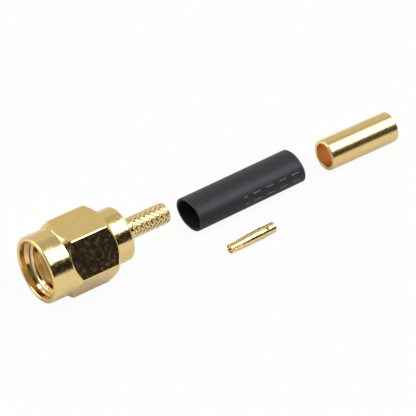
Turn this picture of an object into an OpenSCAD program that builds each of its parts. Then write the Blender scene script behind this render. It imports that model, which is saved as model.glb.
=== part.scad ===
// Crimp coaxial plug with a 1/4-36 coupling nut, for thin flexible cable.
// It is shown as it comes out of the bag: the plug lies on a flat of its nut,
// and the shrink sleeve, the crimp ferrule and the centre contact lie beside it.
// The plug lies along X, with its mating end at -X. The origin is the centre of
// the reference plane, which is the front edge of the outer conductor's tube.

/* [Coupling nut] */
// Width across the flats of the nut
nut_flats = 8; // [7.9:0.05:8.2]
// Diameter that the corners of the hexagon are turned down to
nut_corner_d = 9.15; // [8.7:0.05:9.2]
// Length of the nut
nut_len = 8.6; // [8.2:0.1:10]
// Diameter of the round skirt in front of the hexagon
skirt_d = 7.86; // [7.7:0.02:7.88]
// Length of the skirt
skirt_len = 2.62; // [2:0.02:3.2]
// Radius of the skirt's rounded front edge
skirt_round = 0.36; // [0.1:0.02:0.4]
// Diameter of the rear face inside its chamfer
nut_rear_d = 7.74; // [7.5:0.02:7.8]
// Diameter of the plain lead-in at the nut's mouth
lead_d = 6.76; // [6.7:0.02:6.9]
// Length of the lead-in
lead_len = 0.58; // [0.4:0.02:0.8]
// Size of the coupling thread
thread_d = 6.35; // [6.3:0.05:6.4]
// Length of the thread
thread_len = 2.8; // [2.4:0.1:3]
// Diameter of the chamber behind the thread
chamber_d = 6.8; // [6.7:0.02:6.9]
// Thickness of the lip at the back of the nut
lip_len = 1.5; // [1.2:0.05:1.8]

/* [Plug body] */
// Depth of the reference plane behind the nut's front face
reference_depth = 3.4; // [3.4:0.05:3.7]
// Diameter of the outer conductor's tube
tube_d = 4.59; // [4.55:0.01:4.62]
// Length of the tube in front of the gasket
tube_len = 1.9; // [1.8:0.05:2.1]
// Bore of the tube, which holds the insulator
tube_bore_d = 4.1; // [4:0.02:4.2]
// Diameter of the gasket's seat
seat_d = 5; // [4.95:0.01:5.1]
// Diameter of the barrel that the nut turns on
barrel_d = 5.4; // [5.36:0.01:5.5]
// Diameter of the floor of the retaining ring's groove
groove_d = 4.6; // [4.56:0.01:4.66]
// Diameter of the collar behind the nut
collar_d = 6.44; // [6:0.02:7]
// Length of the collar
collar_len = 2.2; // [1.5:0.05:4]
// Radius of the collar's rounded rear edge
collar_round = 0.23; // [0.1:0.01:0.4]
// Gap between the nut and the collar
collar_gap = 0.25; // [0.22:0.01:0.4]
// Diameter of the crimp stem over its knurl
stem_d = 2.48; // [2.44:0.02:2.7]
// Length of the crimp stem
stem_len = 6.28; // [5:0.02:9]
// Bore for the cable's dielectric
cable_bore_d = 1.7; // [1.56:0.02:1.8]
// Depth of the knurl
knurl_depth = 0.13; // [0.08:0.01:0.15]
// Diamonds round the stem
knurl_around = 12; // [10:1:14]
// Diamonds along the stem
knurl_along = 7; // [5:1:9]
// Length of the plain neck between the collar and the knurl
neck_len = 1.25; // [0.4:0.05:1.5]
// Plain length at the end of the stem
knurl_margin = 0.2; // [0.2:0.02:0.6]

/* [Insulator, gasket and retaining ring] */
// Length of the insulator
insulator_len = 4.8; // [4.75:0.05:5]
// Thickness of the gasket
gasket_len = 0.6; // [0.5:0.02:0.8]
// Width of the gasket's section
gasket_wall = 0.3; // [0.2:0.01:0.4]
// Thickness of the retaining ring along the axis
ring_len = 0.55; // [0.5:0.01:0.6]
// Width of the retaining ring's section
ring_wall = 0.44; // [0.4:0.01:0.44]
// Outer diameter of the retaining ring
ring_d = 6.1; // [6.06:0.01:6.2]
// Gap between the ends of the retaining ring
ring_gap = 1.2; // [0.6:0.1:1.8]

/* [Centre contact] */
// Length of the contact
contact_len = 6.37; // [6:0.01:7]
// Diameter of the contact where its fingers begin
contact_d = 1.29; // [1.25:0.01:1.31]
// Diameter at the tip, where the fingers are closed in
tip_d = 1.08; // [1.04:0.01:1.2]
// Length of the tapered front
tip_taper_len = 2.3; // [2:0.05:2.6]
// Diameter of the shoulder
shoulder_d = 1.38; // [1.36:0.01:1.42]
// Distance from the tip to the shoulder
shoulder_x = 4.43; // [4.3:0.01:4.5]
// Length of the shoulder
shoulder_len = 0.25; // [0.2:0.01:0.3]
// Diameter of the solder barrel
solder_d = 1.26; // [1.2:0.01:1.3]
// Bore of the socket at its root
socket_d = 0.94; // [0.9:0.01:0.96]
// Depth of the socket
socket_depth = 3; // [2.8:0.1:3.4]
// How far the fingers close the socket's bore in at the tip
socket_close = 0.16; // [0.04:0.01:0.18]
// Length of the slots between the fingers
slot_len = 2.7; // [2.4:0.05:2.75]
// Width of the slots at their root
slot_w = 0.2; // [0.14:0.01:0.24]
// Width of the slots at the tip
slot_tip_w = 0.1; // [0.06:0.01:0.14]
// Bore of the solder cup
cup_d = 0.6; // [0.54:0.01:0.7]
// Depth of the solder cup
cup_depth = 1.6; // [1.3:0.05:1.8]
// Diameter of the inspection hole
inspection_d = 0.42; // [0.3:0.01:0.5]
// Distance from the tip to the inspection hole
inspection_x = 5.22; // [5.15:0.01:5.4]

/* [Crimp ferrule] */
// Outer diameter of the ferrule
ferrule_d = 3.74; // [3.5:0.02:4]
// Wall of the ferrule
ferrule_wall = 0.41; // [0.3:0.01:0.5]
// Length of the ferrule
ferrule_len = 9.71; // [8:0.01:11]
// Radius of the ferrule's edges
ferrule_round = 0.09; // [0.04:0.01:0.14]

/* [Shrink sleeve] */
// Width of the sleeve, which the packing has pressed a little flat
sleeve_w = 4.86; // [4.2:0.02:5.2]
// Height of the sleeve
sleeve_h = 3.67; // [3.4:0.01:4.2]
// Wall of the sleeve
sleeve_wall = 0.27; // [0.2:0.01:0.35]
// Length of the sleeve
sleeve_len = 15.17; // [12:0.01:20]

/* [Places of the loose pieces] */
// Gap from the end of the stem to the sleeve
sleeve_gap = 3.47; // [2:0.01:8]
// Distance of the sleeve's near end from the plug's axis, to the left
sleeve_side = 0.24; // [-1:0.02:1]
// Turn of the sleeve, to the left, in degrees
sleeve_turn = 1.07; // [-3:0.01:3]
// Gap from the end of the sleeve to the ferrule
ferrule_gap = 4.12; // [2:0.01:8]
// Distance of the ferrule's near end from the plug's axis, to the right
ferrule_side = 0.14; // [-1:0.02:1]
// Turn of the ferrule, to the right, in degrees
ferrule_turn = 0.55; // [-3:0.01:3]
// Distance of the contact's tip past the sleeve's near end
contact_ahead = 0.99; // [0:0.01:8]
// Distance of the contact's tip from the plug's axis, to the right
contact_side = 6.23; // [4.5:0.01:9]
// Turn of the contact, to the left, in degrees
contact_turn = 1.01; // [-3:0.01:3]

/* [Clearances] */
// Radial running clearance of the nut on the barrel
nut_clearance = 0.06; // [0.03:0.01:0.09]
// Radial clearance of the insulator and the gasket on the body
seat_clearance = 0.02; // [0.01:0.01:0.04]
// Clearance on each side of the retaining ring in its groove
ring_clearance = 0.05; // [0.03:0.01:0.08]
// Travel of the nut forward, until its lip meets the retaining ring
nut_float = 0.1; // [0.08:0.01:0.2]
// Radial clearance of the contact in the insulator
contact_clearance = 0.015; // [0.01:0.005:0.03]

/* [Hidden] */

gold = [0.84, 0.68, 0.38];
table_z = -nut_flats / 2;

nut_front = -reference_depth;
nut_rear = nut_front + nut_len;
lip_d = barrel_d + 2 * nut_clearance;
mouth_chamfer = (skirt_d / 2 - skirt_round - lead_d / 2) / 2;

gasket_x = tube_len;
barrel_x = gasket_x + gasket_len;
groove_rear = nut_rear - lip_len - nut_float + ring_clearance;
groove_front = groove_rear - ring_len - 2 * ring_clearance;
collar_x = nut_rear + collar_gap;
stem_x = collar_x + collar_len;
stem_end = stem_x + stem_len;
stem_end_round = 0.14;
// how far the plain core lies under the valleys of the knurl
core_drop = 0.05;

sleeve_x = stem_end + sleeve_gap;
ferrule_x = sleeve_x + sleeve_len + ferrule_gap;
contact_x = sleeve_x + contact_ahead;
// the contact lies on its shoulder and on the front end of its straight part
contact_tilt = atan((shoulder_d - contact_d) / 2 / (shoulder_x - tip_taper_len));
// turn of the contact about its own axis, which brings the inspection hole up
contact_roll = 26;
// angle between the inspection hole and the nearer slot
slot_lead = 37;

over = 1;       // how far a cut runs past the face that it opens
fine = 96;      // facets of a turned piece on the screen

// Points of an arc about c, from one angle to another
function arc(c, r, from, to, steps = 6) =
    [for (i = [0:steps])
        let (a = from + (to - from) * i / steps)
        [c[0] + r * cos(a), c[1] + r * sin(a)]];

// Points of an ellipse
function oval(w, h, steps = 72) =
    [for (i = [0:steps - 1]) [w / 2 * cos(360 * i / steps), h / 2 * sin(360 * i / steps)]];

// Turns a profile, drawn as [radius, place along the axis], about the X axis
module turned() {
    rotate([0, 90, 0]) rotate_extrude($fn = fine) children();
}

// A straight bore along X
module bore(d, from, to) {
    translate([from, 0, 0]) rotate([0, 90, 0]) cylinder(d = d, h = to - from, $fn = fine);
}

// The nut's turned outline: skirt with a rounded front edge, then the chamfers
// at 45 degrees that cut the hexagon's corners into arches
module nut_outline() {
    skirt = skirt_d / 2;
    corner = nut_corner_d / 2;
    skirt_end = nut_front + skirt_len;
    turned() polygon(concat(
        [[0, nut_front]],
        arc([skirt - skirt_round, nut_front + skirt_round], skirt_round, -90, 0),
        [[skirt, skirt_end],
         [corner, skirt_end + corner - skirt],
         [corner, nut_rear - (corner - nut_rear_d / 2)],
         [nut_rear_d / 2, nut_rear],
         [0, nut_rear]]));
}

module coupling_nut() {
    skirt_end = nut_front + skirt_len;
    thread_x = nut_front + lead_len;
    chamber_x = thread_x + thread_len;
    color(gold) difference() {
        intersection() {
            nut_outline();
            union() {
                bore(skirt_d, nut_front - over, skirt_end);
                translate([skirt_end, 0, 0]) rotate([0, 90, 0]) rotate([0, 0, 30])
                    cylinder(d = nut_flats / cos(30), h = nut_rear - skirt_end + over, $fn = 6);
            }
        }
        turned() polygon([[0, nut_front - over], [lead_d / 2 + mouth_chamfer + over, nut_front - over],
                          [lead_d / 2, nut_front + mouth_chamfer], [0, nut_front + mouth_chamfer]]);
        bore(lead_d, nut_front, thread_x);
        bore(thread_d, nut_front, chamber_x + over);
        bore(chamber_d, chamber_x, nut_rear - lip_len);
        bore(lip_d, chamber_x, nut_rear + over);
    }
}

// Diamond knurl: a ring of points every half diamond, where crests and valleys
// take turns, so that the grooves cross between the diamonds
module knurl(d, depth, around, along, len) {
    cols = 2 * around;
    rows = 2 * along;
    function radius(i, j) = j == 0 || j == rows ? d / 2 - depth / 2
                          : d / 2 - ((i + j) % 2) * depth;
    points = [for (j = [0:rows], i = [0:cols - 1])
        [radius(i, j) * cos(360 * i / cols), radius(i, j) * sin(360 * i / cols), len * j / rows]];
    function at(i, j) = j * cols + i % cols;
    function halves(i, j) = (i + j) % 2 == 0
        ? [[at(i, j), at(i, j + 1), at(i + 1, j)], [at(i + 1, j), at(i, j + 1), at(i + 1, j + 1)]]
        : [[at(i, j), at(i, j + 1), at(i + 1, j + 1)], [at(i, j), at(i + 1, j + 1), at(i + 1, j)]];
    sides = [for (j = [0:rows - 1], i = [0:cols - 1]) each halves(i, j)];
    front = [for (i = [0:cols - 1]) at(i, 0)];
    back = [for (i = [cols - 1:-1:0]) at(i, rows)];
    polyhedron(points, concat(sides, [front, back]));
}

module plug_body() {
    plain = stem_d / 2 - knurl_depth / 2;
    core = stem_d / 2 - knurl_depth - core_drop;
    knurl_x = stem_x + neck_len;
    knurl_end = stem_end - knurl_margin;
    color(gold) difference() {
        union() {
            turned() polygon(concat(
                [[0, 0], [tube_d / 2, 0], [tube_d / 2, gasket_x],
                 [seat_d / 2, gasket_x], [seat_d / 2, barrel_x],
                 [barrel_d / 2, barrel_x], [barrel_d / 2, groove_front],
                 [groove_d / 2, groove_front], [groove_d / 2, groove_rear],
                 [barrel_d / 2, groove_rear], [barrel_d / 2, collar_x],
                 [collar_d / 2, collar_x]],
                arc([collar_d / 2 - collar_round, stem_x - collar_round], collar_round, 0, 90),
                [[plain, stem_x], [plain, knurl_x], [core, knurl_x],
                 [core, knurl_end], [plain, knurl_end]],
                arc([plain - stem_end_round, stem_end - stem_end_round], stem_end_round, 0, 90),
                [[0, stem_end]]));
            translate([knurl_x, 0, 0]) rotate([0, 90, 0])
                knurl(stem_d, knurl_depth, knurl_around, knurl_along, knurl_end - knurl_x);
        }
        bore(tube_bore_d, -over, insulator_len);
        bore(cable_bore_d, 0, stem_end + over);
    }
}

module insulator() {
    hole_d = contact_d + 2 * contact_clearance;
    color("white") difference() {
        bore(tube_bore_d - 2 * seat_clearance, 0, insulator_len);
        bore(hole_d, -over, insulator_len + over);
        bore(shoulder_d + 2 * contact_clearance, shoulder_x, insulator_len + over);
    }
}

module gasket() {
    hole_d = seat_d + 2 * seat_clearance;
    color([0.72, 0.2, 0.12]) difference() {
        bore(hole_d + 2 * gasket_wall, gasket_x, barrel_x);
        bore(hole_d, gasket_x - over, barrel_x + over);
    }
}

// A turned ring with a gap, sprung over the groove from the side of the gap
module retaining_ring() {
    ring_x = groove_front + ring_clearance;
    color([0.8, 0.66, 0.42]) difference() {
        bore(ring_d, ring_x, ring_x + ring_len);
        bore(ring_d - 2 * ring_wall, ring_x - over, ring_x + ring_len + over);
        translate([ring_x - over, -ring_gap / 2, 0]) cube([ring_len + 2 * over, ring_gap, ring_d]);
    }
}

// One slot through both walls of the contact, wider at its root than at the tip
module finger_slot() {
    linear_extrude(height = 2 * contact_d, center = true)
        polygon([[-over, -slot_tip_w / 2], [0, -slot_tip_w / 2], [slot_len, -slot_w / 2],
                 [slot_len, slot_w / 2], [0, slot_tip_w / 2], [-over, slot_tip_w / 2]]);
}

// The contact with its tip at the origin and its axis along X
module contact_shape() {
    tip_round = 0.05;
    cup_round = 0.12;
    socket_tip_d = socket_d - socket_close;
    solder_x = shoulder_x + shoulder_len;
    bevel = (shoulder_d - solder_d) / 2;
    difference() {
        turned() polygon(concat(
            [[0, 0]],
            arc([tip_d / 2 - tip_round, tip_round], tip_round, -90, 0, 3),
            [[contact_d / 2, tip_taper_len], [contact_d / 2, shoulder_x],
             [shoulder_d / 2, shoulder_x], [shoulder_d / 2, solder_x],
             [solder_d / 2, solder_x + bevel]],
            arc([solder_d / 2 - cup_round, contact_len - cup_round], cup_round, 0, 90, 4),
            [[0, contact_len]]));
        turned() polygon([[0, -over], [socket_tip_d / 2, -over], [socket_tip_d / 2, 0],
                          [socket_d / 2, tip_taper_len], [socket_d / 2, socket_depth],
                          [0, socket_depth]]);
        bore(cup_d, contact_len - cup_depth, contact_len + over);
        translate([inspection_x, 0, 0]) cylinder(d = inspection_d, h = contact_d, $fn = fine);
        for (turn = [0, 90]) rotate([turn + slot_lead, 0, 0]) finger_slot();
    }
}

module centre_contact() {
    color(gold)
        translate([contact_x, -contact_side, table_z])
            rotate([0, 0, contact_turn])
                translate([shoulder_x, 0, 0]) rotate([0, -contact_tilt, 0])
                    translate([-shoulder_x, 0, shoulder_d / 2])
                        rotate([contact_roll, 0, 0]) contact_shape();
}

module crimp_ferrule() {
    outer = ferrule_d / 2;
    inner = outer - ferrule_wall;
    round_r = ferrule_round;
    color(gold)
        translate([ferrule_x, -ferrule_side, table_z + ferrule_d / 2]) rotate([0, 0, -ferrule_turn])
            difference() {
                turned() polygon(concat(
                    [[0, 0]],
                    arc([outer - round_r, round_r], round_r, -90, 0, 4),
                    arc([outer - round_r, ferrule_len - round_r], round_r, 0, 90, 4),
                    [[0, ferrule_len]]));
                bore(2 * inner, -over, ferrule_len + over);
            }
}

module shrink_sleeve() {
    color([0.2, 0.19, 0.2])
        translate([sleeve_x, sleeve_side, table_z + sleeve_h / 2]) rotate([0, 0, sleeve_turn])
            rotate([90, 0, 90]) linear_extrude(height = sleeve_len) difference() {
                polygon(oval(sleeve_w, sleeve_h));
                polygon(oval(sleeve_w - 2 * sleeve_wall, sleeve_h - 2 * sleeve_wall));
            }
}

coupling_nut();
plug_body();
insulator();
gasket();
retaining_ring();
centre_contact();
crimp_ferrule();
shrink_sleeve();
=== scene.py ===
import bmesh
import bpy
import numpy as np
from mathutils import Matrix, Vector


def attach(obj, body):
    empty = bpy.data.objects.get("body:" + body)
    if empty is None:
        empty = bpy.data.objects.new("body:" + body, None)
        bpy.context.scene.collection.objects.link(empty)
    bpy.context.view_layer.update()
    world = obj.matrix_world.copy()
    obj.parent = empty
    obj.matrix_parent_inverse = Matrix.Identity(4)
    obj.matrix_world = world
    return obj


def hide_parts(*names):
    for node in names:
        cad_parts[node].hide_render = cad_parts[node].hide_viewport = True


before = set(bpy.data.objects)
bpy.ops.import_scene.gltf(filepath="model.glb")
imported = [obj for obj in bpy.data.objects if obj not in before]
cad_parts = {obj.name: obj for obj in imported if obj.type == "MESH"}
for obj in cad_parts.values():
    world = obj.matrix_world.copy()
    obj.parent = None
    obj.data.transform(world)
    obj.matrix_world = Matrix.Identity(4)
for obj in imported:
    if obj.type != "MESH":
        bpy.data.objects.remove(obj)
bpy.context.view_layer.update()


# ---- Camera ----
# A long lens on a stand, in front of the plug and to the right as one faces it.
# It looks down on the table at about 39 degrees.
camera_place = Vector((-0.111693, -0.180265, 0.175681))
camera_target = Vector((0.021295, 0.001739, -0.004))

camera_data = bpy.data.cameras.new("camera")
camera_data.lens = 216.35
camera_data.sensor_width = 36
camera_data.shift_x = -0.0017
camera_data.shift_y = 0.0008
camera_data.clip_start = 0.01
camera_data.clip_end = 20
camera = bpy.data.objects.new("camera", camera_data)
camera.location = camera_place
camera.rotation_euler = (camera_target - camera_place).to_track_quat("-Z", "Y").to_euler()
bpy.context.scene.collection.objects.link(camera)
bpy.context.scene.camera = camera
bpy.context.scene.view_settings.view_transform = "Standard"


# ---- Table top and room ----
# White paper on a table, a large soft box high on the right and two small ones on the left. The walls are
# pale, the ceiling is duller on the right, and the side of the room in front is unlit. The gold mirrors all
# of this, so the room gives it its look.
mm = 0.001
table_z, paper_half = -4.0, 1500.0


def linear(hex_code):
    """An sRGB hex colour as the linear RGBA that a shader takes: the sRGB curve undone, channel by channel."""
    c = np.array([int(hex_code[i:i + 2], 16) for i in (1, 3, 5)]) / 255
    return (*np.where(c <= 0.04045, c / 12.92, ((c + 0.055) / 1.055) ** 2.4), 1.0)


def add(tree, kind, inputs=None, **settings):
    """Adds one shader node. An input given as another node's output is linked, and any other value is set."""
    node = tree.nodes.new("ShaderNode" + kind)
    for name, value in settings.items():
        setattr(node, name, value)
    for name, value in (inputs or {}).items():
        if isinstance(value, bpy.types.NodeSocket):
            tree.links.new(value, node.inputs[name])
        else:
            node.inputs[name].default_value = value
    return node


def finish_of(name):
    """A new material with one Principled shader. Returns the material, its tree and the shader."""
    made = bpy.data.materials.new(name)
    made.use_nodes = True
    return made, made.node_tree, made.node_tree.nodes["Principled BSDF"]


def shell(grid, wrap=(True, True)):
    """Points and four-sided faces of a grid of rows and columns. A direction that wraps is joined back to its
    start. The faces are turned so that the volume inside them, the sum of corner . (corner x corner) / 6, is
    positive."""
    rows, cols = grid.shape[:2]
    i, j = np.meshgrid(np.arange(rows - (not wrap[0])), np.arange(cols - (not wrap[1])), indexing="ij")
    k, l = (i + 1) % rows, (j + 1) % cols
    faces = np.stack([i * cols + j, k * cols + j, k * cols + l, i * cols + l], -1).reshape(-1, 4)
    points = grid.reshape(-1, 3)
    a, b, c, d = (points[faces[:, n]] for n in range(4))
    volume = np.sum(a * np.cross(b, c)) + np.sum(a * np.cross(c, d))
    return points, faces if volume > 0 else faces[:, ::-1]


def piece(name, shells, materials, uses=None):
    """One object from one or more shells, in metres, with its place in its mesh. Uses gives each face's
    material by its number in materials."""
    points, faces, start = [], [], 0
    for shell_points, shell_faces in shells:
        points.append(shell_points)
        faces.append(shell_faces + start)
        start += len(shell_points)
    mesh = bpy.data.meshes.new(name)
    mesh.from_pydata(np.concatenate(points) * mm, [], np.concatenate(faces))
    for material in materials:
        mesh.materials.append(material)
    if uses is not None:
        mesh.polygons.foreach_set("material_index", uses.astype(np.int32))
    mesh.update()
    mesh.shade_smooth()
    made = bpy.data.objects.new(name, mesh)
    bpy.context.scene.collection.objects.link(made)
    return made


paper, tree, shader = finish_of("white_paper")
# smooth white paper: matt, and lit evenly enough to show as plain white. The gold mirrors a duller paper, as
# beneath the pieces it lies in their shade
shader.inputs["Base Color"].default_value = linear("#F2F2F1")
shader.inputs["Roughness"].default_value = 0.9
shader.inputs["Specular IOR Level"].default_value = 0.0
seen_glow, mirrored_glow, mirrored_level = 0.94, 0.3, 0.5
rays = add(tree, "LightPath").outputs
mirrored = add(tree, "Math", {0: rays["Is Glossy Ray"], 1: mirrored_glow}, operation="MULTIPLY").outputs[0]
glow_share = add(tree, "Math", {0: rays["Is Camera Ray"], 1: seen_glow, 2: mirrored}, operation="MULTIPLY_ADD")
level = add(tree, "Math", {0: rays["Is Camera Ray"], 1: 1 - mirrored_level, 2: mirrored_level},
            operation="MULTIPLY_ADD")
glow = add(tree, "Emission", {"Color": (1, 1, 1, 1), "Strength": level.outputs[0]})
blend = add(tree, "MixShader", {0: glow_share.outputs[0], 1: shader.outputs[0], 2: glow.outputs[0]})
tree.links.new(blend.outputs[0], tree.nodes["Material Output"].inputs["Surface"])

# the paper lies a hair below the pieces, so that no two faces share a plane
paper_edge = np.array([-paper_half, paper_half])
paper_grid = np.stack(np.broadcast_arrays(paper_edge[:, None], paper_edge[None, :], table_z - 0.001), -1)
table_top = piece("table_top", [shell(paper_grid, (False, False))], [paper])

world = bpy.data.worlds.new("room")
world.use_nodes = True
bpy.context.scene.world = world
room = world.node_tree
way = add(room, "TexCoord").outputs["Generated"]


def within(tree, *limits):
    """The share of a pattern that lies within every limit: the product of soft steps. A limit is a value, a
    start and an end. Its step is 1 below the start and 0 above the end, or the other way round where the start
    is the higher of the two."""
    inside = 1.0
    for value, start, end in limits:
        below = add(tree, "MapRange", {0: value, 1: start, 2: end, 3: 1.0, 4: 0.0},
                    interpolation_type="SMOOTHSTEP")
        inside = add(tree, "Math", {0: below.outputs[0], 1: inside}, operation="MULTIPLY").outputs[0]
    return inside


def soft_box(aim, half_width, half_height, fade):
    """The share of a soft box that shows in each direction: 1 inside an upright rectangle round aim, and down
    to 0 over fade. The place across it is (direction . side) / (direction . aim), as on a flat drawing of the
    room."""
    aim = Vector(aim).normalized()
    side = aim.cross(Vector((0, 0, 1))).normalized()
    ahead = add(room, "VectorMath", {0: way, 1: aim}, operation="DOT_PRODUCT").outputs["Value"]
    facing = add(room, "Math", {0: ahead, 1: 0.0}, operation="GREATER_THAN").outputs[0]
    limits = []
    for axis, half in ((side, half_width), (side.cross(aim), half_height)):
        across = add(room, "VectorMath", {0: way, 1: axis}, operation="DOT_PRODUCT").outputs["Value"]
        place = add(room, "Math", {0: across, 1: ahead}, operation="DIVIDE").outputs[0]
        off = add(room, "Math", {0: place}, operation="ABSOLUTE").outputs[0]
        limits.append((off, half - fade / 2, half + fade / 2))
    return add(room, "Math", {0: facing, 1: within(room, *limits)}, operation="MULTIPLY").outputs[0]


# the walls by direction: warm low down, and towards the ceiling pale on the left and duller on the right
parts = add(room, "SeparateXYZ", {0: way}).outputs
ceiling = add(room, "MixRGB", {0: within(room, (parts["X"], 0.1, 0.35)), 1: linear("#B4B1AA"),
                               2: linear("#DEDDDB")}).outputs[0]
walls = add(room, "MixRGB", {0: within(room, (parts["Z"], 0.64, 0.80)), 1: ceiling,
                             2: linear("#D2CEBF")}).outputs[0]
# the unlit side is in front: low down across the whole room, higher up on its left, and half lit at its far
# left
in_front = within(room, (parts["Y"], 0.08, 0.24), (parts["X"], 0.62, 0.85))
high_left = within(room, (parts["X"], -0.35, -0.1), (parts["Z"], 0.80, 0.90))
low = within(room, (parts["Z"], 0.60, 0.68))
low_or_left = add(room, "Math", {0: low, 1: high_left}, operation="MAXIMUM").outputs[0]
unlit = add(room, "Math", {0: in_front, 1: low_or_left}, operation="MULTIPLY").outputs[0]
half_lit = within(room, (parts["X"], -0.80, -0.72), (parts["Y"], -0.22, -0.06))
dark = add(room, "MixRGB", {0: half_lit, 1: linear("#231F24"), 2: linear("#7D7F76")}).outputs[0]
light = add(room, "MixRGB", {0: unlit, 1: walls, 2: dark}).outputs[0]
# each soft box: its direction, half width, half height and fade as shares of its distance, and its brightness
for aim, half_width, half_height, fade, brightness in (((0.461, -0.32, 0.80), 0.42, 0.19, 0.07, 6.0),
                                                       ((-0.80, 0.60, 0.31), 0.34, 0.30, 0.12, 1.7),
                                                       ((-0.80, 0.41, 0.47), 0.10, 0.42, 0.08, 2.5)):
    shows = soft_box(aim, half_width, half_height, fade)
    lamp = add(room, "VectorMath", {0: (brightness,) * 3, "Scale": shows}, operation="SCALE").outputs[0]
    light = add(room, "VectorMath", {0: light, 1: lamp}, operation="ADD").outputs[0]
# light goes to and fro inside the bores, so more of its reflections are followed than usual
bpy.context.scene.cycles.glossy_bounces = 16
rays = add(room, "LightPath").outputs
shown = add(room, "MixRGB", {0: rays["Is Camera Ray"], 1: light, 2: (1, 1, 1, 1)})
room.links.new(shown.outputs[0], room.nodes["Background"].inputs["Color"])


# ---- Coupling nut ----
# Free-cutting brass, turned and milled from hexagon bar and gold plated: a round skirt, a hexagon with its
# corners turned off at 45 degrees, and a 1/4-36 thread cut inside. A lip at its back turns on the body. Sizes
# here and below are millimetres: places along the axis, and radii, whose names end in _r.
nut_front, nut_rear, lip_front, lip_r = -3.4, 5.2, 3.7, 2.76
skirt_r, skirt_end, flat_r, corner_r, nut_rear_r = 3.93, -0.78, 4.0, 4.575, 3.87
lead_r, lead_end, sink_end, mouth_chamfer = 3.38, -2.74, -2.46, 0.095
wall_r, thread_end, chamber_r = 3.175, -0.02, 3.4
thread_pitch, crest_r, crest_w = 25.4 / 36, 2.80, 0.176


def rounded(corners, radii, steps=5, guard=0.02):
    """A closed outline with its corners rounded. Corners is (corner, ..., 2), so one call does many outlines at
    once. Each corner becomes an arc of its radius: start + r sin(a) along the side in + r (1 - cos(a)) along
    the turn. A guard point on each side of the arc keeps the flat beyond it flat when the surface is shaded
    smooth."""
    p = np.asarray(corners, float)
    came, goes = p - np.roll(p, 1, 0), np.roll(p, -1, 0) - p
    len_in, len_out = (np.linalg.norm(v, axis=-1, keepdims=True) for v in (came, goes))
    came, goes = came / len_in, goes / len_out
    cosine = np.clip(np.sum(came * goes, -1, keepdims=True), -1, 1)
    turn = np.arccos(cosine)
    across = goes - cosine * came
    across /= np.maximum(np.linalg.norm(across, axis=-1, keepdims=True), 1e-9)
    r = np.broadcast_to(np.reshape(radii, (-1,) + (1,) * (p.ndim - 1)), turn.shape)
    reach = np.minimum(r * np.tan(turn / 2), 0.4 * np.minimum(len_in, len_out))
    r = reach / np.maximum(np.tan(turn / 2), 1e-9)
    slack = np.minimum(guard, 0.2 * (np.minimum(len_in, len_out) - reach))
    a = turn * np.linspace(0, 1, steps + 1).reshape((-1, 1) + (1,) * (p.ndim - 1))
    bend = (p - came * reach) + r * (np.sin(a) * came + (1 - np.cos(a)) * across)
    rows = np.concatenate([(p - came * (reach + slack))[None], bend, (p + goes * (reach + slack))[None]])
    return np.moveaxis(rows, 0, 1).reshape((-1,) + p.shape[1:])


def finer(outline, length):
    """The same closed outline with each side longer than length cut into equal parts."""
    nxt = np.roll(outline, -1, 0)
    parts = np.maximum(np.ceil(np.linalg.norm(nxt - outline, axis=-1) / length), 1).astype(int)
    i = np.repeat(np.arange(len(outline)), parts)
    t = ((np.arange(len(i)) - np.repeat(np.cumsum(parts) - parts, parts)) / parts[i])[:, None]
    return outline[i] * (1 - t) + nxt[i] * t


def turned(outline, angles):
    """An outline of (along, radius) turned about the X axis: x = along, y = r cos(angle), z = r sin(angle)."""
    o = outline if outline.ndim == 3 else outline[:, None, :]
    x, r, a = np.broadcast_arrays(o[..., 0], o[..., 1], angles[None, :])
    return np.stack([x, r * np.cos(a), r * np.sin(a)], -1)


def plated_gold(name, tone, roughness, haze, waves=0.07):
    """Hard gold over nickel. It is bright, and slightly hazy in patches of 0.4 mm where the plating is coarser:
    its roughness goes from roughness to haze there, and its colour between the two of tone. A grain of 0.1 mm
    and rings round the axis 0.05 mm apart, the marks of turning or drawing, shake what it mirrors by waves. A
    pattern's scale is the number of its cells to the millimetre."""
    made, tree, shader = finish_of(name)
    where = add(tree, "TexCoord").outputs["Object"]
    cloud = add(tree, "TexNoise", {"Vector": where, "Scale": 2.3 / mm, "Detail": 2.5, "Roughness": 0.5})
    rough = add(tree, "MapRange", {0: cloud.outputs["Fac"], 1: 0.37, 2: 0.75, 3: roughness, 4: haze},
                interpolation_type="SMOOTHSTEP")
    tree.links.new(rough.outputs[0], shader.inputs["Roughness"])
    shade = add(tree, "MixRGB", {0: cloud.outputs["Fac"], 1: linear(tone[0]), 2: linear(tone[1])})
    tree.links.new(shade.outputs[0], shader.inputs["Base Color"])
    shader.inputs["Metallic"].default_value = 1.0
    stretch = add(tree, "Mapping", {"Vector": where, "Scale": (1.0, 0.03, 0.03)})
    rings = add(tree, "TexNoise", {"Vector": stretch.outputs[0], "Scale": 22 / mm, "Detail": 2.0})
    grain = add(tree, "TexNoise", {"Vector": where, "Scale": 9 / mm, "Detail": 2.0})
    grained = add(tree, "Bump", {"Strength": waves, "Distance": 0.01 * mm, "Height": grain.outputs["Fac"]})
    ringed = add(tree, "Bump", {"Strength": waves, "Distance": 0.004 * mm, "Height": rings.outputs["Fac"],
                                "Normal": grained.outputs[0]})
    tree.links.new(ringed.outputs[0], shader.inputs["Normal"])
    return made


# outside, a little hazy and yellow; in the thread, cut clean, and with its colour painted paler: painted light
# that stands in for the light its walls throw on one another
gold = plated_gold("gold_plated_brass", ("#FCE3A0", "#F7DA94"), 0.13, 0.26, 0.05)
gold_thread = plated_gold("gold_plated_thread", ("#FADFAA", "#F6DAA3"), 0.12, 0.18)

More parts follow.
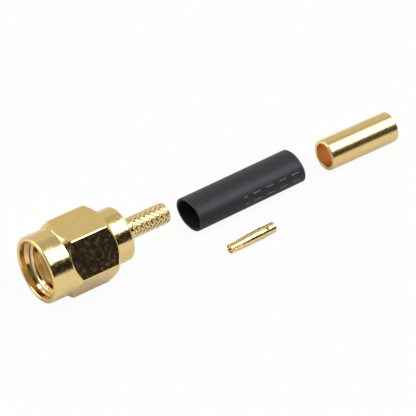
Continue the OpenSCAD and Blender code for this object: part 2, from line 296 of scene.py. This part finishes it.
# the hexagon's radius at each angle is the smaller of a flat's, flat_r / cos, and the turned corner's, with the
# change from one to the other rounded over a fine edge. The angles lie closer together towards a corner
edge_blend = 0.02
half_side = np.array([0, 3, 6, 9, 12, 14, 16, 18, 20, 22, 23.5, 25, 26, 27, 27.8, 28.3, 28.6, 28.8, 28.95, 29.1,
                      29.25, 29.45, 29.7, 30])
side = np.radians(np.concatenate([-half_side[:0:-1], half_side[:-1]]))
nut_angles = (np.radians(90 + 60 * np.arange(6))[:, None] + side[None, :]).ravel()
flat_part = np.tile(flat_r / np.cos(side), 6)
near_edge = np.maximum(edge_blend - abs(flat_part - corner_r), 0) / edge_blend
hexagon = np.minimum(flat_part, corner_r) - near_edge * near_edge * edge_blend / 4

# corners 4 and 5 are where the 45 degree chamfers meet the hexagon, so they move along the axis with its radius
nut_corners = np.array([
    [nut_front + mouth_chamfer, lead_r], [nut_front, lead_r + mouth_chamfer], [nut_front, skirt_r],
    [skirt_end, skirt_r], [0, 0], [0, 0], [nut_rear, nut_rear_r], [nut_rear, lip_r], [lip_front, lip_r],
    [lip_front, chamber_r], [thread_end, chamber_r], [thread_end, wall_r], [sink_end, wall_r],
    [lead_end, lead_r]])
nut_corners = np.repeat(nut_corners[:, None, :], len(nut_angles), 1)
nut_corners[4] = np.stack([skirt_end + hexagon - skirt_r, hexagon], -1)
nut_corners[5] = np.stack([nut_rear - hexagon + nut_rear_r, hexagon], -1)
nut_rounds = [0.08, 0.07, 0.36, 0.03, 0.05, 0.05, 0.06, 0.05, 0.03, 0.03, 0.03, 0.04, 0.03, 0.03]
nut_shell = shell(turned(rounded(nut_corners, nut_rounds), nut_angles))

# the thread: a ridge with 30 degree flanks carried along a right-hand helix, its place along the axis growing
# by one pitch a turn. Its crest's front edge is at crest_x where the angle is crest_angle, and its foot is
# sunk in the wall. The countersink cuts its first turn away: no point's radius is less than the cone's at
# that place
crest_x, crest_angle, full_turns = -2.62, 17.3, 4
foot_r, foot_w, sunk = wall_r + 0.03, 0.02, 0.02
flank = (wall_r - crest_r) * np.tan(np.radians(30))
ridge = finer(rounded([[-flank - foot_w, foot_r], [0, crest_r], [crest_w, crest_r],
                       [crest_w + flank + foot_w, foot_r]], [0.01, 0.04, 0.04, 0.01], steps=4, guard=0.01), 0.03)
ridge_angles = np.radians(np.arange(-150, crest_angle + 360 * full_turns + 60, 3.0))
ridge_x = crest_x + thread_pitch * (ridge_angles - np.radians(crest_angle)) / (2 * np.pi)
ridge_outline = np.repeat(ridge[:, None, :], len(ridge_angles), 1)
ridge_outline[..., 0] = np.clip(ridge_outline[..., 0] + ridge_x, lead_end, thread_end)
cone = wall_r + (sink_end - ridge_outline[..., 0]) * (lead_r - wall_r) / (sink_end - lead_end)
ridge_outline[..., 1] = np.maximum(ridge_outline[..., 1], cone + sunk * (cone > wall_r))
thread_shell = shell(turned(ridge_outline, ridge_angles), (True, False))

# rounded() gives a corner 8 points: 6 on its arc and 2 guards. The thread's finish starts at corner 11
corner_rows = 8
nut_row = np.arange(len(nut_shell[1])) // len(nut_angles)
threaded = np.concatenate([nut_row >= 11 * corner_rows - 1, np.ones(len(thread_shell[1]), bool)])
nut = piece("hex_coupling_nut", [nut_shell, thread_shell], [gold, gold_thread], threaded)
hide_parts("coupling_nut")
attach(nut, "nut")


# ---- Plug body ----
# One turned brass piece, gold plated: the outer conductor's tube, the step for the gasket, the barrel that
# carries the nut, the collar, and a crimp stem whose diamond knurl bites into the cable's braid under the
# ferrule.
tube_bore_r, tube_r, seat_x, seat_r, tube_end = 2.05, 2.295, 1.9, 2.5, 4.8
barrel_x, barrel_r, groove_x, groove_end, groove_r = 2.5, 2.7, 3.0, 3.65, 2.3
collar_x, collar_r, stem_x, stem_end, neck_r, cable_bore_r = 5.45, 3.22, 7.65, 13.93, 1.175, 0.85
knurl_x, knurl_end, stem_r, cut_depth = 8.90, 13.73, 1.24, 0.12
diamonds_around, diamonds_along, diamond_angle, rows_per_diamond = 12, 7, 135, 20

body_angles = np.radians(np.arange(0, 360, 1.25))
body_corners = [
    [0, tube_bore_r], [0, tube_r], [seat_x, tube_r], [seat_x, seat_r], [barrel_x, seat_r], [barrel_x, barrel_r],
    [groove_x, barrel_r], [groove_x, groove_r], [groove_end, groove_r], [groove_end, barrel_r],
    [collar_x, barrel_r], [collar_x, collar_r], [stem_x, collar_r], [stem_x, neck_r], [stem_end, neck_r],
    [stem_end, cable_bore_r], [tube_end, cable_bore_r], [tube_end, tube_bore_r]]
body_rounds = [0.04, 0.1, 0.02, 0.05, 0.02, 0.06, 0.03, 0.02, 0.02, 0.03, 0.03, 0.05, 0.23, 0.05, 0.26, 0.05,
               0.03, 0.03]
plain_outline = rounded(body_corners, body_rounds)
# the knurl's own rows go in between the stem's root, corner 13, and its end
knurl_rows = np.linspace(knurl_x, knurl_end, diamonds_along * rows_per_diamond + 1)
knurl_start = 14 * corner_rows
knurl_stop = knurl_start + len(knurl_rows)
body_outline = np.concatenate([plain_outline[:knurl_start],
                               np.stack([knurl_rows, np.full_like(knurl_rows, neck_r)], -1),
                               plain_outline[knurl_start:]])
body_grid = np.repeat(body_outline[:, None, :], len(body_angles), 1)

# the knurl: two families of grooves that cross. Each point's height over the grooves' floor grows with its
# share of the way from the nearest groove's middle, as t (2 - t), up to the flat land of its diamond
slope_share, run_out = 0.5, 0.2
knurl_along = (knurl_rows[:, None] - knurl_x) / (knurl_end - knurl_x) * diamonds_along
knurl_around = (body_angles[None, :] - np.radians(diamond_angle)) / (2 * np.pi) * diamonds_around + 0.5
cut_a, cut_b = (abs((knurl_along + hand * knurl_around) % 1 * 2 - 1) for hand in (1, -1))
cushion = np.minimum((1 - np.maximum(cut_a, cut_b)) / slope_share, 1)
height = cut_depth * cushion * (2 - cushion)
fade_in = np.clip(np.minimum(knurl_along, diamonds_along - knurl_along) / run_out, 0, 1)
body_grid[knurl_start:knurl_stop, :, 1] = neck_r + (stem_r - cut_depth - neck_r + height) * fade_in
# the small faces of a knurl light one another, and the knurl's colour is painted paler than plain turned gold
# for that light; it is also a little duller
gold_knurl = plated_gold("gold_plated_knurl", ("#FAE3AC", "#F5DBA2"), 0.15, 0.22)
body_shell = shell(turned(body_grid, body_angles))
body_row = np.arange(len(body_shell[1])) // len(body_angles)
knurled = (body_row >= knurl_start) & (body_row < knurl_stop - 1)
body = piece("plug_body_turned", [body_shell], [gold, gold_knurl], knurled)
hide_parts("plug_body")
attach(body, "plug")


# ---- Crimp ferrule ----
# A short length of drawn brass tube, gold plated, with both ends lightly rounded.
# It is crimped over the braid on the knurled stem.
ferrule_r, ferrule_bore_r, ferrule_len = 1.87, 1.46, 9.71
ferrule_place, ferrule_turn = (36.69, -0.14, table_z + ferrule_r), -0.55


def lying(grid, place, turn, tilt=0.0):
    """Moves a grid made about the X axis to where the piece lies: tilted up at its far end, then turned to the
    left, in degrees."""
    t, u = np.radians([turn, tilt])
    up = np.array([[np.cos(u), 0, -np.sin(u)], [0, 1, 0], [np.sin(u), 0, np.cos(u)]])
    left = np.array([[np.cos(t), -np.sin(t), 0], [np.sin(t), np.cos(t), 0], [0, 0, 1]])
    return grid @ (left @ up).T + np.array(place)


# drawn tube has an even satin outside. Its bore's colour is painted paler: painted light for the light its walls
# throw on one another
gold_tube = plated_gold("gold_plated_drawn_tube", ("#FBE1A0", "#F5D792"), 0.22, 0.25, 0.02)
gold_bore = plated_gold("gold_plated_tube_bore", ("#FBE6CA", "#FBE5C7"), 0.24, 0.27)
ferrule_outline = rounded([[0, ferrule_bore_r], [0, ferrule_r], [ferrule_len, ferrule_r],
                           [ferrule_len, ferrule_bore_r]], [0.05, 0.12, 0.12, 0.05])
ferrule_grid = turned(ferrule_outline, np.radians(np.arange(0, 360, 3.0)))
ferrule_shell = shell(lying(ferrule_grid, ferrule_place, ferrule_turn))
# the last row of faces joins the outline's end to its start, and is the bore
in_bore = np.arange(len(ferrule_shell[1])) // ferrule_grid.shape[1] == len(ferrule_outline) - 1
ferrule = piece("crimp_ferrule_tube", [ferrule_shell], [gold_tube, gold_bore], in_bore)
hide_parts("crimp_ferrule")
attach(ferrule, "plug")


# ---- Shrink sleeve ----
# Cross-linked polyolefin tube, cut to length with a knife and pressed a little
# flat by its packing. It is shrunk over the ferrule and the cable.
sleeve_w, sleeve_h, sleeve_wall, sleeve_len = 4.86, 3.67, 0.27, 15.17
sleeve_place, sleeve_turn = (17.40, 0.24, table_z + sleeve_h / 2), 1.07


def distance(tree, value, centre):
    """How far a value is from a centre, either way."""
    gap = add(tree, "Math", {0: value, 1: centre}, operation="SUBTRACT").outputs[0]
    return add(tree, "Math", {0: gap}, operation="ABSOLUTE").outputs[0]


rubbery, tree, shader = finish_of("black_polyolefin")
# extruded and stretched black plastic: satin, with specks of dust 0.4 mm apart, a grain of 0.1 mm and faint
# streaks 0.2 mm wide along the tube, and a double row of plain grey ink dashes along one side, which run in the
# ink's own grain of 0.1 mm. The piece's own map gives millimetres along it and round it
skin = add(tree, "UVMap", uv_map="round_the_tube").outputs["UV"]
where = add(tree, "TexCoord").outputs["Object"]
cloud = add(tree, "TexNoise", {"Vector": where, "Scale": 0.9 / mm, "Detail": 3.0})
blacks = add(tree, "MixRGB", {0: cloud.outputs["Fac"], 1: linear("#2D2A2E"), 2: linear("#3A363A")})
speck = add(tree, "TexVoronoi", {"Vector": where, "Scale": 2.6 / mm, "Randomness": 1.0})
spots = add(tree, "MapRange", {0: speck.outputs["Distance"], 1: 0.05, 2: 0.11, 3: 0.6, 4: 0.0})
dusty = add(tree, "MixRGB", {0: spots.outputs[0], 1: blacks.outputs[0], 2: linear("#8A8888")})
# the dashes: millimetres from one to the next and of each one's length, where along the tube they start, how
# far round it the middle between the two rows is, and from there to a row, and half a dash's width
dash_pitch, dash_len, dashes_start, rows_middle, row_away, dash_half = 1.9, 1.05, 6.25, 6.2, 0.5, 0.05
along, round_it = add(tree, "SeparateXYZ", {0: skin}).outputs[:2]
in_pitch = add(tree, "Math", {0: along, 1: dash_pitch}, operation="MODULO").outputs[0]
from_row = distance(tree, distance(tree, round_it, rows_middle), row_away)
dashes = within(tree, (in_pitch, dash_len, dash_len + 0.07), (along, dashes_start + 0.1, dashes_start),
                (from_row, dash_half, dash_half + 0.04))
ragged = add(tree, "TexNoise", {"Vector": where, "Scale": 12 / mm, "Detail": 2.0})
patchy = add(tree, "MapRange", {0: ragged.outputs["Fac"], 1: 0.35, 2: 0.6, 3: 0.25, 4: 0.8})
ink = add(tree, "Math", {0: dashes, 1: patchy.outputs[0]}, operation="MULTIPLY")
inked = add(tree, "MixRGB", {0: ink.outputs[0], 1: dusty.outputs[0], 2: linear("#8D9098")})
tree.links.new(inked.outputs[0], shader.inputs["Base Color"])
shader.inputs["Roughness"].default_value = 0.42
shader.inputs["Specular IOR Level"].default_value = 0.28
shader.inputs["Specular Tint"].default_value = linear("#E2E5F2")
stretch = add(tree, "Mapping", {"Vector": where, "Scale": (0.12, 1.0, 1.0)})
streaks = add(tree, "TexNoise", {"Vector": stretch.outputs[0], "Scale": 5 / mm, "Detail": 3.0})
grain = add(tree, "TexNoise", {"Vector": where, "Scale": 11 / mm, "Detail": 3.0})
grained = add(tree, "Bump", {"Strength": 0.35, "Distance": 0.02 * mm, "Height": grain.outputs["Fac"]})
streaked = add(tree, "Bump", {"Strength": 0.3, "Distance": 0.03 * mm, "Height": streaks.outputs["Fac"],
                              "Normal": grained.outputs[0]})
tree.links.new(streaked.outputs[0], shader.inputs["Normal"])

# the section is an ellipse whose two axes both shrink by the wall: y = a cos(angle), z = b sin(angle). The
# knife leaves each end a little out of square and wavy: its place along the tube changes by a few sines of
# the angle. The outline is (along, share of the wall's thickness from the bore)
sleeve_step, out_of_square, wavy, far_cut_turn = 3.0, 0.03, 0.012, 37
sleeve_angles = np.radians(np.arange(0, 360, sleeve_step))
sleeve_outline = finer(rounded([[0, 0.0], [0, 1.0], [sleeve_len, 1.0], [sleeve_len, 0.0]],
                               [0.02, 0.03, 0.03, 0.02]), 0.5)
sleeve_along, wall_share = sleeve_outline[:, :1], sleeve_outline[:, 1:]
half_w = sleeve_w / 2 - sleeve_wall * (1 - wall_share)
half_h = sleeve_h / 2 - sleeve_wall * (1 - wall_share)
near_cut = (out_of_square * (1 + np.sin(sleeve_angles + 0.6))
            + wavy * (1 + np.sin(5 * sleeve_angles) * np.cos(2 * sleeve_angles)))
far_cut = np.roll(near_cut, far_cut_turn)
far_share = sleeve_along / sleeve_len
cut_along = sleeve_along + near_cut * (1 - far_share) - far_cut * far_share
sleeve_grid = np.stack([cut_along, half_w * np.cos(sleeve_angles), half_h * np.sin(sleeve_angles)], -1)
sleeve = piece("shrink_sleeve_tube", [shell(lying(sleeve_grid, sleeve_place, sleeve_turn))], [rubbery])
face_points = np.zeros(len(sleeve.data.loops), np.int32)
sleeve.data.loops.foreach_get("vertex_index", face_points)
sleeve_row, sleeve_col = np.divmod(face_points, len(sleeve_angles))
# a face that closes the circle goes on past the last angle instead of back to the first
closes = (sleeve_col == 0) & (np.repeat(sleeve_col.reshape(-1, 4).max(1), 4) > 1)
sleeve_col = np.where(closes, len(sleeve_angles), sleeve_col)
round_mm = sleeve_col * np.radians(sleeve_step) * (sleeve_w + sleeve_h) / 4
skin_map = sleeve.data.uv_layers.new(name="round_the_tube")
uv = np.stack([sleeve_along[sleeve_row, 0], round_mm], -1)
skin_map.data.foreach_set("uv", uv.astype(np.float32).ravel())
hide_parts("shrink_sleeve")
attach(sleeve, "plug")


# ---- Centre contact ----
# Beryllium copper, turned, slotted into four fingers that are sprung inwards, and gold plated. The cable's
# inner conductor is soldered into its rear cup, and solder is fed through the inspection hole.
contact_place, contact_turn, contact_tilt, contact_roll = (18.376, -6.230, -3.404), 1.01, 1.2103, 26.0
tip_r, finger_r, taper_len, slot_len, tip_round = 0.54, 0.645, 2.3, 2.7, 0.04
socket_tip_r, socket_r, socket_depth = 0.39, 0.47, 3.0
slot_tip_w, slot_w, slot_lead = 0.10, 0.20, 37.0
shoulder_r, shoulder_x, shoulder_end, rear_r, contact_len = 0.69, 4.43, 4.68, 0.63, 6.37
cup_r, cup_depth, peephole_r, peephole_x = 0.30, 1.6, 0.21, 5.22


def capped(grid):
    """A shell whose second direction is open, with its two ends closed: each end is filled by four-sided faces
    that join the points of one half of its outline to those of the other half. They are turned the same way as
    the shell's own faces."""
    points, faces = shell(grid, (True, False))
    rows, cols = grid.shape[:2]
    i = np.arange(rows // 2 - 1)
    near_cap = np.stack([i, i + 1, rows - 2 - i, rows - 1 - i], -1) * cols
    far_cap = near_cap[:, ::-1] + cols - 1
    if faces[0][1] - faces[0][0] == cols:
        near_cap, far_cap = near_cap[:, ::-1], far_cap[:, ::-1]
    return points, np.concatenate([faces, near_cap, far_cap])


# one finger: its section is a rounded bar, -1 to 1 across and 0 to 1 outwards, bent to the contact's radius at
# each place along it. Across, it reaches to the slots, which are arcsin(half the slot's width / radius) wide
# each way
bar_half, bar_thick = 0.36, 0.16
bar = finer(rounded([[-bar_half, 0], [-bar_half, bar_thick], [bar_half, bar_thick], [bar_half, 0]],
                    [0.02, 0.03, 0.03, 0.02], steps=4), 0.06) / [bar_half, bar_thick]
finger_x = np.concatenate([[0, 0.004, 0.012, 0.025, 0.04, 0.06], np.linspace(0.1, slot_len, 28)])
inset = tip_round - np.sqrt(tip_round ** 2 - np.maximum(tip_round - finger_x, 0) ** 2)
outer = np.interp(finger_x, [0, taper_len], [tip_r, finger_r]) - inset
inner = np.interp(finger_x, [0, taper_len], [socket_tip_r, socket_r]) + inset
bar_r = inner + (outer - inner) * bar[:, 1:]
half_slot = np.interp(finger_x, [0, slot_len], [slot_tip_w, slot_w]) / 2 + inset
reach = (np.pi / 4 - np.arcsin(half_slot / bar_r)) * bar[:, :1]
contact_shells = []
for number in range(4):
    bar_a = reach + np.radians(90 + contact_roll + slot_lead + 45 + 90 * number)
    finger_grid = np.stack([np.broadcast_to(finger_x, bar_r.shape), bar_r * np.cos(bar_a),
                            bar_r * np.sin(bar_a)], -1)
    contact_shells.append(capped(lying(finger_grid, contact_place, contact_turn, contact_tilt)))

# the trunk behind the fingers, turned, with a window left open round the inspection hole in both its walls. The
# outer window's rows follow the 6 corners before it, and the inner one's the 2 corners of the rear end
window_half, window_rows, window_cols, trunk_step = 0.36, 13, 9, 6.0
outer_window = 6 * corner_rows
inner_window = outer_window + window_rows + 2 * corner_rows
peephole_a = np.radians(90 + contact_roll)
trunk_angles = peephole_a + np.radians(np.arange(0, 360, trunk_step))
window_x = np.linspace(peephole_x - window_half, peephole_x + window_half, window_rows)
window_a = np.arange(-window_cols, window_cols + 1)
trunk_outline = rounded([
    [slot_len, socket_r], [slot_len, finger_r], [shoulder_x, finger_r], [shoulder_x, shoulder_r],
    [shoulder_end, shoulder_r], [shoulder_end + shoulder_r - rear_r, rear_r], [contact_len, rear_r],
    [contact_len, cup_r], [contact_len - cup_depth, cup_r], [contact_len - cup_depth, 0], [socket_depth, 0],
    [socket_depth, socket_r]], [0.005, 0.005, 0.02, 0.02, 0.02, 0.02, 0.12, 0.03, 0.02, 0, 0, 0.02])
trunk_outline = np.concatenate([
    trunk_outline[:6 * corner_rows], np.stack([window_x, np.full(window_rows, rear_r)], -1),
    trunk_outline[6 * corner_rows:8 * corner_rows], np.stack([window_x[::-1], np.full(window_rows, cup_r)], -1),
    trunk_outline[8 * corner_rows:]])
trunk_points, trunk_faces = shell(turned(trunk_outline, trunk_angles))
trunk_row, trunk_col = np.divmod(np.arange(len(trunk_faces)), len(trunk_angles))
in_window = (trunk_col < window_cols) | (trunk_col >= len(trunk_angles) - window_cols)
in_window &= (((trunk_row >= outer_window) & (trunk_row < outer_window + window_rows - 1))
              | ((trunk_row >= inner_window) & (trunk_row < inner_window + window_rows - 1)))
trunk_faces = trunk_faces[~in_window]

# the inspection hole: rings of points that run from the window's rim in to the hole, down its wall to the
# cup, and out to the inner window's rim. A ring's share is 1 at a rim and 0 at the hole's edge. On a wall of
# radius r that edge is arcsin(hole radius sin(turn) / r) aside
side_cols = 2 * window_cols - 1
rim = np.concatenate([np.stack([window_x, np.full(window_rows, -window_cols)], -1),
                      np.stack([np.full(side_cols, window_x[-1]), window_a[1:-1]], -1),
                      np.stack([window_x[::-1], np.full(window_rows, window_cols)], -1),
                      np.stack([np.full(side_cols, window_x[0]), window_a[-2:0:-1]], -1)])
rim_x, rim_a = rim[:, 0], np.radians(rim[:, 1] * trunk_step)
hole_turn = np.arctan2(rim_a * rear_r, rim_x - peephole_x)
aside, ahead = peephole_r * np.sin(hole_turn), peephole_x + peephole_r * np.cos(hole_turn)
ring_share = np.array([1, 0.8, 0.6, 0.4, 0.25, 0.12, 0.05, 0, 0, 0, 0, 0, 0, 0.05, 0.15, 0.4, 0.7, 1])[:, None]
at_r = np.array([rear_r] * 8 + [0.61, 0.5, 0.4, 0.32] + [cup_r] * 6)[:, None]
hole_x = ahead + (rim_x - ahead) * ring_share
hole_a = np.arcsin(aside / at_r) * (1 - ring_share) + rim_a * ring_share + peephole_a
hole_grid = np.stack([hole_x, at_r * np.cos(hole_a), at_r * np.sin(hole_a)], -1)
hole_points, hole_faces = shell(hole_grid, (False, True))
# the first face lies on the outer wall, so it has to look away from the axis
one, two, three = hole_points[hole_faces[0][:3]]
if np.dot(np.cross(two - one, three - one), [0, np.cos(peephole_a), np.sin(peephole_a)]) < 0:
    hole_faces = hole_faces[:, ::-1]
for points, faces in ((trunk_points, trunk_faces), (hole_points, hole_faces)):
    contact_shells.append((lying(points, contact_place, contact_turn, contact_tilt), faces))

# thinner plating on a fine, cleanly turned pin: even, bright and a little yellower
gold_contact = plated_gold("gold_plated_copper", ("#FCE2A0", "#F9DC96"), 0.17, 0.20, 0.03)
contact = piece("centre_contact_turned", contact_shells, [gold_contact])
merged = bmesh.new()
merged.from_mesh(contact.data)
bmesh.ops.remove_doubles(merged, verts=merged.verts, dist=1e-8)
merged.to_mesh(contact.data)
merged.free()
contact.data.shade_smooth()
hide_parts("centre_contact")
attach(contact, "plug")


# ---- Insulator ----
# Turned from PTFE rod and pressed into the body. A stepped hole through its middle
# holds the contact by its shoulder.
insulator_r, insulator_len = 2.03, 4.8
hole_r, shoulder_hole_r, shoulder_at = 0.66, 0.705, 4.43

ptfe, tree, shader = finish_of("turned_ptfe")
# milky white and waxy: the tool's rings show softly, 0.14 mm apart, which is a wave of scale 0.314 / that
shader.inputs["Base Color"].default_value = linear("#F4F2EC")
shader.inputs["Roughness"].default_value = 0.42
shader.inputs["IOR"].default_value = 1.35
where = add(tree, "TexCoord").outputs["Object"]
from_axis = add(tree, "Mapping", {"Vector": where, "Scale": (0.0, 1.0, 1.0)})
tool_rings = add(tree, "TexWave", {"Vector": from_axis.outputs[0], "Scale": 2.2 / mm, "Distortion": 0.3},
                 wave_type="RINGS", rings_direction="X")
bump = add(tree, "Bump", {"Strength": 0.2, "Distance": 0.01 * mm, "Height": tool_rings.outputs["Fac"]})
tree.links.new(bump.outputs[0], shader.inputs["Normal"])

insulator_outline = rounded([
    [0, hole_r], [0, insulator_r], [insulator_len, insulator_r], [insulator_len, shoulder_hole_r],
    [shoulder_at, shoulder_hole_r], [shoulder_at, hole_r]], [0.04, 0.05, 0.05, 0.04, 0.02, 0.02])
insulator_shell = shell(turned(insulator_outline, np.radians(np.arange(0, 360, 3.0))))
insulator = piece("insulator_turned", [insulator_shell], [ptfe])
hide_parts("insulator")
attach(insulator, "plug")


# ---- Gasket ----
# A small ring moulded in silicone rubber. It sits on the step behind the tube, where
# the mating jack's front edge presses on it.
gasket_r, gasket_hole_r, gasket_from, gasket_to = 2.82, 2.52, 1.9, 2.5

silicone, tree, shader = finish_of("silicone_rubber")
# matt red rubber with a slight sheen and the fine grain of its mould, 0.1 mm
shader.inputs["Base Color"].default_value = linear("#B23A26")
shader.inputs["Roughness"].default_value = 0.5
where = add(tree, "TexCoord").outputs["Object"]
grain = add(tree, "TexNoise", {"Vector": where, "Scale": 12 / mm, "Detail": 2.0})
bump = add(tree, "Bump", {"Strength": 0.2, "Distance": 0.01 * mm, "Height": grain.outputs["Fac"]})
tree.links.new(bump.outputs[0], shader.inputs["Normal"])

gasket_outline = rounded([[gasket_from, gasket_hole_r], [gasket_from, gasket_r], [gasket_to, gasket_r],
                          [gasket_to, gasket_hole_r]], [0.06, 0.13, 0.13, 0.06])
gasket_shell = shell(turned(gasket_outline, np.radians(np.arange(0, 360, 3.0))))
gasket = piece("gasket_moulded", [gasket_shell], [silicone])
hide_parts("gasket")
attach(gasket, "plug")


# ---- Retaining ring ----
# Phosphor bronze wire of rectangular section, bent round with a gap so that it
# springs over the body into its groove. The lip of the nut bears on it.
ring_r, ring_wall, ring_from, ring_to, ring_gap = 3.05, 0.44, 3.05, 3.60, 1.2

bronze, tree, shader = finish_of("drawn_spring_bronze")
# warm reddish metal with the dull streaks of a drawn and bent strip, 0.1 mm wide and ten times as long
where = add(tree, "TexCoord").outputs["Object"]
stretch = add(tree, "Mapping", {"Vector": where, "Scale": (1.0, 0.1, 0.1)})
tarnish = add(tree, "TexNoise", {"Vector": stretch.outputs[0], "Scale": 9 / mm, "Detail": 3.0})
browns = add(tree, "MixRGB", {0: tarnish.outputs["Fac"], 1: linear("#D9A86C"), 2: linear("#C08E58")})
tree.links.new(browns.outputs[0], shader.inputs["Base Color"])
shader.inputs["Metallic"].default_value = 1.0
shader.inputs["Roughness"].default_value = 0.3

half_gap = np.arcsin(ring_gap / 2 / ring_r)
ring_angles = np.linspace(np.pi / 2 + half_gap, np.pi * 5 / 2 - half_gap, 100)
ring_outline = rounded([[ring_from, ring_r - ring_wall], [ring_from, ring_r], [ring_to, ring_r],
                        [ring_to, ring_r - ring_wall]], [0.05] * 4)
ring = piece("retaining_ring_bent", [capped(turned(ring_outline, ring_angles))], [bronze])
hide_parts("retaining_ring")
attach(ring, "ring")
